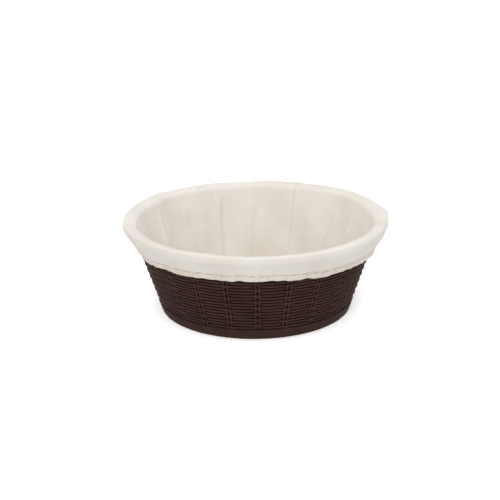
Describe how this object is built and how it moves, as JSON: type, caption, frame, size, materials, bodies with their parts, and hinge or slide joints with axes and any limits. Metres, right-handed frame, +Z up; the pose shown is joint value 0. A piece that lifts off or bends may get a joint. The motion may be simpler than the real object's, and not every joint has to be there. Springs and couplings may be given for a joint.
{
  "type": "bread basket",
  "caption": "Round dark woven basket with leaning sides, smooth foot band and a lift-out cloth liner whose elasticated cuff turns over the rim",
  "frame": {"origin": "centre of the standing ring, on the table", "axes": "Z up along the basket's axis; the side that faces -Y is the front; X to the right seen from the front"},
  "size_m": [0.2496, 0.2496, 0.0884],
  "materials": {
    "weave_plastic": "satin dark brown woven plastic strand",
    "band_plastic": "satin dark brown moulded plastic",
    "backing_plastic": "matt near-black brown plastic",
    "liner_cloth": "plain-woven off-white cotton, washed",
    "elastic": "white knitted elastic",
    "thread": "off-white sewing thread"
  },
  "bodies": {
    "basket": {"foot_band": "band_plastic", "base_board": "backing_plastic", "backing_sleeve": "backing_plastic", "rim_hoop": "band_plastic", "stake_pair_01": "weave_plastic", "stake_pair_02": "weave_plastic", "stake_pair_03": "weave_plastic", "stake_pair_04": "weave_plastic", "stake_pair_05": "weave_plastic", "stake_pair_06": "weave_plastic", "stake_pair_07": "weave_plastic", "stake_pair_08": "weave_plastic", "stake_pair_09": "weave_plastic", "stake_pair_10": "weave_plastic", "stake_pair_11": "weave_plastic", "stake_pair_12": "weave_plastic", "stake_pair_13": "weave_plastic", "stake_pair_14": "weave_plastic", "stake_pair_15": "weave_plastic", "stake_pair_16": "weave_plastic", "stake_pair_17": "weave_plastic", "stake_pair_18": "weave_plastic", "stake_pair_19": "weave_plastic", "stake_pair_20": "weave_plastic", "stake_pair_21": "weave_plastic", "stake_pair_22": "weave_plastic", "stake_pair_23": "weave_plastic", "stake_pair_24": "weave_plastic", "weaver_row_01": "weave_plastic", "weaver_row_02": "weave_plastic", "weaver_row_03": "weave_plastic", "weaver_row_04": "weave_plastic", "weaver_row_05": "weave_plastic", "weaver_row_06": "weave_plastic", "weaver_row_07": "weave_plastic", "weaver_row_08": "weave_plastic", "weaver_row_09": "weave_plastic", "weaver_row_10": "weave_plastic", "weaver_row_11": "weave_plastic", "weaver_row_12": "weave_plastic", "weaver_row_13": "weave_plastic", "weaver_row_14": "weave_plastic", "weaver_row_15": "weave_plastic", "weaver_row_16": "weave_plastic", "weaver_row_17": "weave_plastic", "weaver_row_18": "weave_plastic", "weaver_row_19": "weave_plastic", "weaver_row_20": "weave_plastic", "weaver_row_21": "weave_plastic"},
    "liner": {"liner_wall": "liner_cloth", "liner_base": "liner_cloth", "liner_cuff": "liner_cloth", "hem_elastic": "elastic", "hem_stitching": "thread", "base_stitching": "thread"}
  },
  "joints": [
    {"name": "liner_lift", "type": "slide", "parent": "basket", "child": "liner", "axis": [0, 0, 1], "range_m": [0, 0.1], "deforming": ["liner_cuff", "hem_elastic", "hem_stitching"]}
  ]
}
